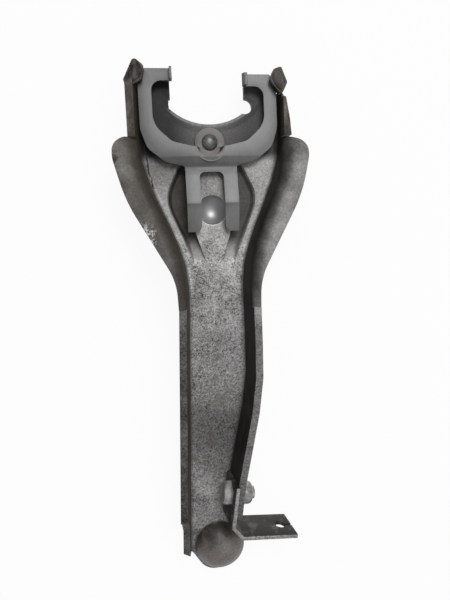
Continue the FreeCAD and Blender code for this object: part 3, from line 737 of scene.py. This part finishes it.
    def _yoke_shade_tone(self, graph: Graph, at: ForkMap, patches: Field) -> Colour:
        """Painted shade on the yoke sheet, partly dirt: dark at both sides and darkest on the
        left, with a painted highlight on the rim round the opening and a painted shade line just
        outside that rim.

        Args:
            graph: Nodes of the finish.
            at: Masks of the fork.
            patches: Middling noise.

        Returns:
            The colour.
        """
        away = graph.distance(self.yoke_centre)
        middle = 1 - abs(at.x - 0.001).over(Span.YOKE_MIDDLE)
        # Painted highlight on the rim round the opening.
        rim = away.within(Band.YOKE_RIM) * (1 - at.y.over(Span.YOKE_RIM_END))
        # Painted shade: a dark line just outside the rim.
        groove_shade = away.within(Band.YOKE_GROOVE) * (1 - middle * 0.5)
        return graph.layers(
            # Painted shade with some dirt: near black on the left, lighter towards the right and
            # in the middle.
            grey(0.006, 0.03),
            (at.x.over(Span.YOKE_BREADTH), grey(0.040, 0.02)),
            (middle * 0.8, grey(0.110, 0.02)),
            (rim * 0.7, grey(0.210)),
            (groove_shade * 0.55, grey(0.010, 0.05)),
            (patches.step(0.52, 0.72) * 0.3, grey(0.045, 0.06)),
        )

    def _walls(self, graph: Graph, at: ForkMap, patches: Field) -> Colour:
        """Tone of the walls: brown on the left, painted shade with dark grime inside the right,
        dull outside.

        Args:
            graph: Nodes of the finish.
            at: Masks of the fork.
            patches: Middling noise.

        Returns:
            The colour.
        """
        spots = patches.step(0.36, 0.68)
        brown = graph.mix(spots, *self.brown_tones)
        # Painted shade with dark grime on the inner face of the right wall.
        shade_and_grime = graph.mix(spots, *self.shade_and_grime_tones)
        dull = graph.mix(spots, *self.dull_tones)
        foot = at.level.within(Band.WALL_FOOT)
        brown = graph.mix(foot * 0.8, brown, self.foot_tone)
        return graph.layers(dull, (at.inner_right, shade_and_grime), (at.inner_left, brown))

    def _wings(
        self,
        graph: Graph,
        at: ForkMap,
        colour: Colour,
        clouds: Field,
        patches: Field,
        grain: Field,
    ) -> Colour:
        """Lay the tones of the wings and of the rims over the colour, with painted shade, partly
        grime, in the bends beside the walls.

        Args:
            graph: Nodes of the finish.
            at: Masks of the fork.
            colour: Colour so far.
            clouds: Slow noise.
            patches: Middling noise.
            grain: Fine noise.

        Returns:
            The colour.
        """
        beyond_bend = (at.outward + (patches - 0.5) * 0.004).over(Span.BEND_WIDTH)
        open_wing = beyond_bend | (1 - at.y.over(Span.WING_OPENS))
        cloudy = clouds.step(0.36, 0.64)
        low = 1 - at.y.over(Span.WING_LOW_END)
        scuff = graph.near(self.scuff) * patches.step(0.47, 0.60) * grain.step(0.48, 0.58)
        nick = graph.near(self.nick) * patches.step(0.45, 0.58)
        left = graph.layers(
            graph.mix(cloudy, *self.wing_tones),
            (low * 0.6, grey(0.050, 0.05)),
            (scuff, grey(0.48)),
            (nick * 0.85, grey(0.022, 0.05)),
        )
        right = graph.layers(
            grey(0.165, 0.04), (cloudy, grey(0.245, 0.02)), (low * 0.30, grey(0.150, 0.03))
        )
        # Painted shade, partly grime, in the bends beside the walls.
        bend_shade = graph.mix(at.right, *self.bend_shade_tones)
        wing = graph.mix(open_wing, bend_shade, graph.mix(at.right, left, right))
        rim = graph.mix(at.right, grey(0.072, 0.05), grey(0.150, 0.02))
        rim = graph.mix(patches.step(0.42, 0.62) * 0.5, rim, grey(0.100, 0.03))
        return graph.layers(colour, (at.wing, wing), (at.rim_top, rim))

    def _arms(self, graph: Graph, at: ForkMap, colour: Colour, patches: Field) -> Colour:
        """Lay the browned arms and tabs over the colour.

        Args:
            graph: Nodes of the finish.
            at: Masks of the fork.
            colour: Colour so far.
            patches: Middling noise.

        Returns:
            The colour.
        """
        arm_top = at.arm * at.up.over(Span.ARM_FACING_UP)
        streaks = graph.noise(self.streak_noise, graph.stretched(self.streak_stretch))
        rust = graph.mix(streaks.step(0.40, 0.62), *self.rust_tones)
        rust = graph.mix(streaks.step(0.60, 0.70) * 0.7, rust, grey(0.140, 0.02))
        tab = graph.layers(
            graph.mix(at.right, *self.tab_tones),
            (streaks.step(0.46, 0.60) * 0.7, self.tab_streak_tone),
            (patches.step(0.50, 0.66) * 0.5, self.tab_patch_tone),
        )
        return graph.layers(colour, (arm_top, rust), (at.tab, tab))

    def _cup_shading_and_dirt_tone(self, graph: Graph, at: ForkMap, patches: Field) -> Colour:
        """Painted shading on the pushrod cup, partly dirt: dark on the side towards the yoke,
        pale on the side away from it.

        Args:
            graph: Nodes of the finish.
            at: Masks of the fork.
            patches: Middling noise.

        Returns:
            The colour.
        """
        middle_x, middle_y, _ = self.cup.centre
        # Painted shading, partly dirt: dark towards the yoke, pale away from it.
        slant = (at.x - middle_x) * 0.45 - (at.y - middle_y) * 0.89 + (patches - 0.5) * 0.012
        tone = graph.mix(slant.over(Span.CUP_SLANT), *self.cup_shading_and_dirt_tones)
        return graph.mix(patches.step(0.46, 0.66) * 0.55, tone, self.cup_patch_tone)


@dataclass(frozen=True)
class SpringSteelFinish:
    """Smooth matt spring plate with rubbed legs, painted light towards its right side and on the
    upper legs, and a painted shade band where the legs leave the plate.
    """

    tone: float = 0.112
    tongue: Spot = Spot((0.0, 0.0428, 0.0065), 0.0112, 0.0016)
    tongue_tone: Triple = (0.088, 0.080, 0.074)
    spots_per_metre: float = 210
    cloud_noise: NoiseKind = NoiseKind(45, 3.0, 0.55)
    smudge_noise: NoiseKind = NoiseKind(190, 4.0, 0.6)
    grain_noise: NoiseKind = NoiseKind(900, 3.0, 0.6)
    grain_stretch: Triple = (1.0, 0.25, 1.0)
    roughness: float = 0.50
    metallic: float = 0.45
    relief_depth: float = 0.00008
    relief_strength: float = 0.30

    def material(self) -> bpy.types.Material:
        """Build the material.

        Returns:
            The material of the spring plate.
        """
        graph = Graph("spring_steel")
        x, y, _ = graph.axes()
        clouds = graph.noise(self.cloud_noise)
        smudge = graph.noise(self.smudge_noise)
        grain = graph.noise(self.grain_noise, graph.stretched(self.grain_stretch))
        upper_leg_light = y.within(Band.SPRING_UPPER_LEG)
        leg_bend_shade = y.within(Band.SPRING_LEG_END)
        lower_leg = 1 - y.over(Span.SPRING_LOWER_LEG_END)
        sheared = 1 - abs(graph.facing_share(Direction.UP)).over(Span.SPRING_FACING_UP)
        tongue = graph.near(self.tongue)
        spots = (1 - graph.cells(self.spots_per_metre).step(0.05, 0.16)) * smudge.step(0.50, 0.62)
        colour = graph.layers(
            grey(self.tone * 0.90, 0.01),
            (clouds.step(0.3, 0.7), grey(self.tone * 1.10)),
            # Painted light: the plate lighter towards its right side.
            (x.over(Span.SPRING_BREADTH) * 0.35, grey(0.175)),
            # Painted light on the upper legs, which face the lamp.
            (upper_leg_light * 0.35, grey(0.190)),
            # Painted shade: a dark band where the legs leave the plate.
            (leg_bend_shade * 0.45, grey(0.070, 0.02)),
            (lower_leg * 0.55, grey(0.200, 0.01)),
            (sheared * 0.8, grey(0.060, 0.02)),
            (tongue * 0.75, self.tongue_tone),
            (spots * 0.35, grey(0.060, 0.05)),
        )
        colour = graph.scaled(colour, 1 + (grain - 0.5) * 0.30 + (smudge - 0.5) * 0.35)
        rough = self.roughness + (clouds - 0.5) * 0.14 + (smudge - 0.5) * 0.10
        relief = grain * 0.5 + smudge * 0.5
        return graph.finish(
            colour, rough, self.metallic, relief, self.relief_depth, self.relief_strength
        )


@dataclass(frozen=True)
class StripFinish:
    """Dark strip with bare sheared edges."""

    face: Triple = (0.022, 0.018, 0.016)
    worn_face: Triple = (0.098, 0.090, 0.083)
    edge: float = 0.34
    tear: Spot = Spot((0.0462, -0.2143, 0.0050), 0.0048, 0.0012)
    cloud_noise: NoiseKind = NoiseKind(120, 4.0, 0.62)
    grain_noise: NoiseKind = NoiseKind(900, 3.0, 0.65)
    roughness: float = 0.52
    metallic: float = 0.20
    specular: float = 0.3
    relief_depth: float = 0.00016
    relief_strength: float = 0.40

    def material(self) -> bpy.types.Material:
        """Build the material.

        Returns:
            The material of the bracket.
        """
        graph = Graph("strip_steel")
        _, _, z = graph.axes()
        clouds = graph.noise(self.cloud_noise)
        grain = graph.noise(self.grain_noise)
        face = graph.mix(clouds.step(0.47, 0.66), self.face, self.worn_face)
        sheared = grain.step(0.4, 0.65)
        sheared = graph.mix(sheared, grey(self.edge * 0.60, 0.01), grey(self.edge * 1.20))
        up = graph.facing_share(Direction.UP)
        edge = up.over(Span.STRIP_FACING_UP) * z.over(Span.STRIP_TOP_LEVEL)
        tear = graph.near(self.tear) * clouds.step(0.44, 0.58)
        colour = graph.layers(face, (edge, sheared), (tear * 0.7, grey(0.42)))
        tint = (grain - 0.5) * (1.6 - edge * 1.1) + (clouds - 0.5) * 0.6
        colour = graph.scaled(colour, (1 + tint) | 0.15)
        rough = self.roughness + (clouds - 0.5) * 0.25 - edge * 0.08
        metal = self.metallic + edge * 0.40
        return graph.finish(
            colour,
            rough,
            metal,
            grain * 0.5 + clouds * 0.5,
            self.relief_depth,
            self.relief_strength,
            self.specular,
        )


@dataclass(frozen=True)
class FastenerFinish:
    """Dull grey bolt, nut or rivet steel."""

    name: str = "fastener_steel"
    tone: float = 0.36
    cloud_noise: NoiseKind = NoiseKind(240, 3.0, 0.6)
    grain_noise: NoiseKind = NoiseKind(1500, 3.0, 0.6)
    roughness: float = 0.40
    metallic: float = 0.60
    relief_depth: float = 0.00010
    relief_strength: float = 0.35

    def material(self) -> bpy.types.Material:
        """Build the material.

        Returns:
            The material of the fasteners.
        """
        graph = Graph(self.name)
        clouds = graph.noise(self.cloud_noise)
        grain = graph.noise(self.grain_noise)
        cloudy = clouds.step(0.34, 0.66)
        colour = graph.mix(cloudy, grey(self.tone * 0.62, 0.04), grey(self.tone * 1.25))
        colour = graph.scaled(colour, (1 + (grain - 0.5) * 1.2) | 0.2)
        rough = self.roughness + (clouds - 0.5) * 0.25
        relief = grain * 0.5 + clouds * 0.4
        return graph.finish(
            colour, rough, self.metallic, relief, self.relief_depth, self.relief_strength
        )


@dataclass(frozen=True)
class FloorFinish:
    """White ground that keeps the fork's shadow."""

    tone: float = 0.80
    roughness: float = 0.9
    whiteness: float = 0.93

    def material(self) -> bpy.types.Material:
        """Build the material.

        Returns:
            The material of the floor.
        """
        graph = Graph("floor_white")
        path = graph.node("ShaderNodeLightPath")
        camera, glossy, through = (
            Field(graph, path.outputs[f"Is {kind} Ray"])
            for kind in ("Camera", "Glossy", "Transmission")
        )
        seen = camera | glossy | through
        links = {"Color": grey(self.tone), "Roughness": self.roughness}
        matt = graph.node("ShaderNodeBsdfDiffuse", None, links)
        links = {"Color": grey(1.0), "Strength": 1.0}
        white = graph.node("ShaderNodeEmission", None, links)
        surfaces = [Field(graph, shader.outputs[0]) for shader in (matt, white)]
        links = {0: seen * self.whiteness, 1: surfaces[0], 2: surfaces[1]}
        blend = graph.node("ShaderNodeMixShader", None, links)
        links = {"Surface": Field(graph, blend.outputs[0])}
        graph.node("ShaderNodeOutputMaterial", None, links)
        return graph.material


@dataclass
class PackedParts:
    """The solids of the frame, with softened edges and their finishes."""

    nodes: Mapping[str, bpy.types.Object]
    edge_radius: Mapping[str, float] = field(
        default_factory=lambda: {
            "fork_body": 0.0012,
            "retainer_spring": 0.0003,
            "spring_rivet": 0.0002,
            "return_spring_bracket": 0.0004,
            "bracket_bolt": 0.0003,
            "bracket_nut": 0.0003,
        }
    )
    smooth_below: float = 36.0
    round_above: float = 38.0
    round_segments: int = 3
    weld_distance: float = 0.00001

    def __post_init__(self) -> None:
        """Build the nodes that shade shallow bends smoothly."""
        group = bpy.data.node_groups.new("smooth_bends", "GeometryNodeTree")
        group.interface.new_socket("Mesh", in_out="INPUT", socket_type="NodeSocketGeometry")
        group.interface.new_socket("Mesh", in_out="OUTPUT", socket_type="NodeSocketGeometry")
        start = group.nodes.new("NodeGroupInput")
        end = group.nodes.new("NodeGroupOutput")
        angle = group.nodes.new("GeometryNodeInputMeshEdgeAngle")
        shallow = group.nodes.new("FunctionNodeCompare")
        shallow.operation = "LESS_THAN"
        shallow.inputs[1].default_value = math.radians(self.smooth_below)
        faces = group.nodes.new("GeometryNodeSetShadeSmooth")
        faces.domain = "FACE"
        edges = group.nodes.new("GeometryNodeSetShadeSmooth")
        edges.domain = "EDGE"
        for source, target in (
            (start.outputs[0], faces.inputs[0]),
            (faces.outputs[0], edges.inputs[0]),
            (angle.outputs[0], shallow.inputs[0]),
            (shallow.outputs[0], edges.inputs[2]),
            (edges.outputs[0], end.inputs[0]),
        ):
            group.links.new(source, target)
        self.smooth_bends = group

    def soften(self, name: str) -> None:
        """Round the sharp edges of a solid.

        Args:
            name: Node of the solid.
        """
        solid = self.nodes[name]
        weld = solid.modifiers.new("join_faces", "WELD")
        weld.merge_threshold = self.weld_distance
        bevel = solid.modifiers.new("worn_edges", "BEVEL")
        bevel.width = self.edge_radius[name]
        bevel.segments = self.round_segments
        bevel.limit_method = "ANGLE"
        bevel.angle_limit = math.radians(self.round_above)
        bevel.use_clamp_overlap = True
        bevel.harden_normals = False
        bevel.miter_outer = "MITER_ARC"
        shading = solid.modifiers.new("smooth_bends", "NODES")
        shading.node_group = self.smooth_bends

    def dress(self, name: str, material: bpy.types.Material) -> None:
        """Give a solid its finish.

        Args:
            name: Node of the solid.
            material: The finish.
        """
        solid = self.nodes[name]
        for slot in solid.material_slots:
            slot.material = material
        if not solid.material_slots:
            solid.data.materials.append(material)
        log.info("dressed %s", name)


@dataclass(frozen=True)
class TabCrown:
    """The hammered, rounded top of a folded tab, seated in the tab's upper face."""

    name: str
    outline: tuple[tuple[float, float], ...]
    top_level: float = 0.0113
    seat_depth: float = 0.0008
    rise: float = 0.0013
    rings: tuple[tuple[float, float], ...] = (
        (0.90, -1.0), (0.97, -0.2), (0.90, 0.35), (0.66, 0.85), (0.34, 1.0),
    )
    rounding_levels: int = 3

    def build(self, material: bpy.types.Material) -> bpy.types.Object:
        """Make the crown and let it ride with the fork.

        Args:
            material: Finish of the pressed sheet.

        Returns:
            The crown.
        """
        count = len(self.outline)
        middle_x = sum(x for x, _ in self.outline) / count
        middle_y = sum(y for _, y in self.outline) / count
        points = []
        for share, height in self.rings:
            level = self.top_level + height * (self.seat_depth if height < 0 else self.rise)
            for x, y in self.outline:
                place_x = middle_x + (x - middle_x) * share
                place_y = middle_y + (y - middle_y) * share
                points.append((place_x, place_y, level - WEB_DROP + place_y * PITCH_RISE))
        faces = [tuple(reversed(range(count)))]
        for ring in range(len(self.rings) - 1):
            for corner in range(count):
                after = (corner + 1) % count
                low, high = ring * count, (ring + 1) * count
                faces.append((low + corner, low + after, high + after, high + corner))
        faces.append(tuple(range(count * (len(self.rings) - 1), count * len(self.rings))))
        mesh = bpy.data.meshes.new(self.name)
        mesh.from_pydata(points, [], faces)
        mesh.shade_smooth()
        mesh.materials.append(material)
        crown = bpy.data.objects.new(self.name, mesh)
        bpy.context.scene.collection.objects.link(crown)
        rounding = crown.modifiers.new("rounding", "SUBSURF")
        rounding.levels = self.rounding_levels
        rounding.render_levels = self.rounding_levels
        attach(crown, "root")
        log.info("built %s", self.name)
        return crown


LEFT_TAB = TabCrown(
    "tab_crown_left",
    (
        (-0.0518, 0.0783), (-0.0490, 0.0740), (-0.0407, 0.0788),
        (-0.0393, 0.0860), (-0.0450, 0.0900),
    ),
)
RIGHT_TAB = TabCrown(
    "tab_crown_right",
    (
        (0.0392, 0.0788), (0.0424, 0.0737), (0.0464, 0.0698),
        (0.0498, 0.0770), (0.0460, 0.0862), (0.0412, 0.0848),
    ),
)


@dataclass(frozen=True)
class Lamp:
    """A soft lamp above the fork."""

    name: str
    place: Triple
    aim: Triple
    width: float
    watts: float

    def build(self) -> bpy.types.Object:
        """Make the lamp.

        Returns:
            The lamp.
        """
        light = bpy.data.lights.new(self.name, "AREA")
        light.shape = "SQUARE"
        light.size = self.width
        light.energy = self.watts
        lamp = bpy.data.objects.new(self.name, light)
        bpy.context.scene.collection.objects.link(lamp)
        lamp.location = self.place
        aim = Vector(self.aim) - Vector(self.place)
        lamp.rotation_euler = aim.to_track_quat("-Z", "Y").to_euler()
        return lamp


@dataclass(frozen=True)
class Camera:
    """The camera, set from its place and axes over the web of the fork."""

    place: Triple = (-0.03125, -0.03143, 0.305)
    right: Triple = (0.99131, -0.04215, 0.12460)
    up: Triple = (0.05311, 0.99488, -0.08600)
    back: Triple = (-0.12033, 0.09187, 0.98847)
    lens: float = 27.6
    sensor_width: float = 36.0
    clip_start: float = 0.01

    def build(self) -> bpy.types.Object:
        """Make the camera and make it the scene's.

        Returns:
            The camera.
        """
        data = bpy.data.cameras.new("camera")
        data.lens = self.lens
        data.sensor_width = self.sensor_width
        data.sensor_fit = "AUTO"
        data.clip_start = self.clip_start
        camera = bpy.data.objects.new("camera", data)
        bpy.context.scene.collection.objects.link(camera)
        turn = Matrix((self.right, self.up, self.back)).transposed().to_4x4()
        local = Matrix.Translation(Vector(self.place) - Vector((0.0, 0.0, WEB_DROP))) @ turn
        camera.matrix_world = Matrix.Rotation(math.atan(PITCH_RISE), 4, "X") @ local
        bpy.context.scene.camera = camera
        return camera


@dataclass
class Studio:
    """White ground, pale surroundings, soft lamps and the camera."""

    floor_level: float
    span: float = 16.0
    room_strength: float = 0.42
    lamps: tuple[Lamp, ...] = (
        Lamp("key_lamp", (0.16, 0.50, 0.95), (0.0, -0.05, 0.0), 0.50, 7.5),
        Lamp("fill_lamp", (0.45, -0.35, 0.9), (0.0, -0.08, 0.0), 0.7, 1.5),
    )

    def build(self) -> None:
        """Make the ground, the surroundings, the lamps and the camera."""
        self._floor()
        self._surroundings()
        for lamp in self.lamps:
            lamp.build()
        Camera().build()
        bpy.context.scene.view_settings.view_transform = "Standard"
        log.info("studio built")

    def _floor(self) -> None:
        """Lay the ground under the fork."""
        half = self.span / 2
        mesh = bpy.data.meshes.new("floor")
        signs = ((-1, -1), (1, -1), (1, 1), (-1, 1))
        corners = [(x * half, y * half, self.floor_level) for x, y in signs]
        mesh.from_pydata(corners, [], [(0, 1, 2, 3)])
        floor = bpy.data.objects.new("floor", mesh)
        bpy.context.scene.collection.objects.link(floor)
        mesh.materials.append(FloorFinish().material())
        floor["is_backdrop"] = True

    def _surroundings(self) -> None:
        """Set the pale light that comes from all round."""
        world = bpy.data.worlds.new("pale_room")
        world.use_nodes = True
        background = world.node_tree.nodes["Background"]
        background.inputs["Color"].default_value = (1.0, 1.0, 1.0, 1.0)
        background.inputs["Strength"].default_value = self.room_strength
        bpy.context.scene.world = world


def main() -> None:
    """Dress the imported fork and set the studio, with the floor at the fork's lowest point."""
    logging.basicConfig(level=logging.INFO)
    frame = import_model()
    packed = [list(corner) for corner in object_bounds()]
    parts = PackedParts(frame["nodes"])
    finishes = {
        "fork_body": PressedSteelFinish().material(),
        "retainer_spring": SpringSteelFinish().material(),
        "spring_rivet": FastenerFinish("rivet_steel", tone=0.105).material(),
        "return_spring_bracket": StripFinish().material(),
    }
    fastener = FastenerFinish().material()
    for name in frame["nodes"]:
        parts.soften(name)
        parts.dress(name, finishes.get(name, fastener))
    for crown in (LEFT_TAB, RIGHT_TAB):
        crown.build(finishes["fork_body"])
    Studio(floor_level=packed[0][2]).build()


if __name__ == "__main__":
    main()
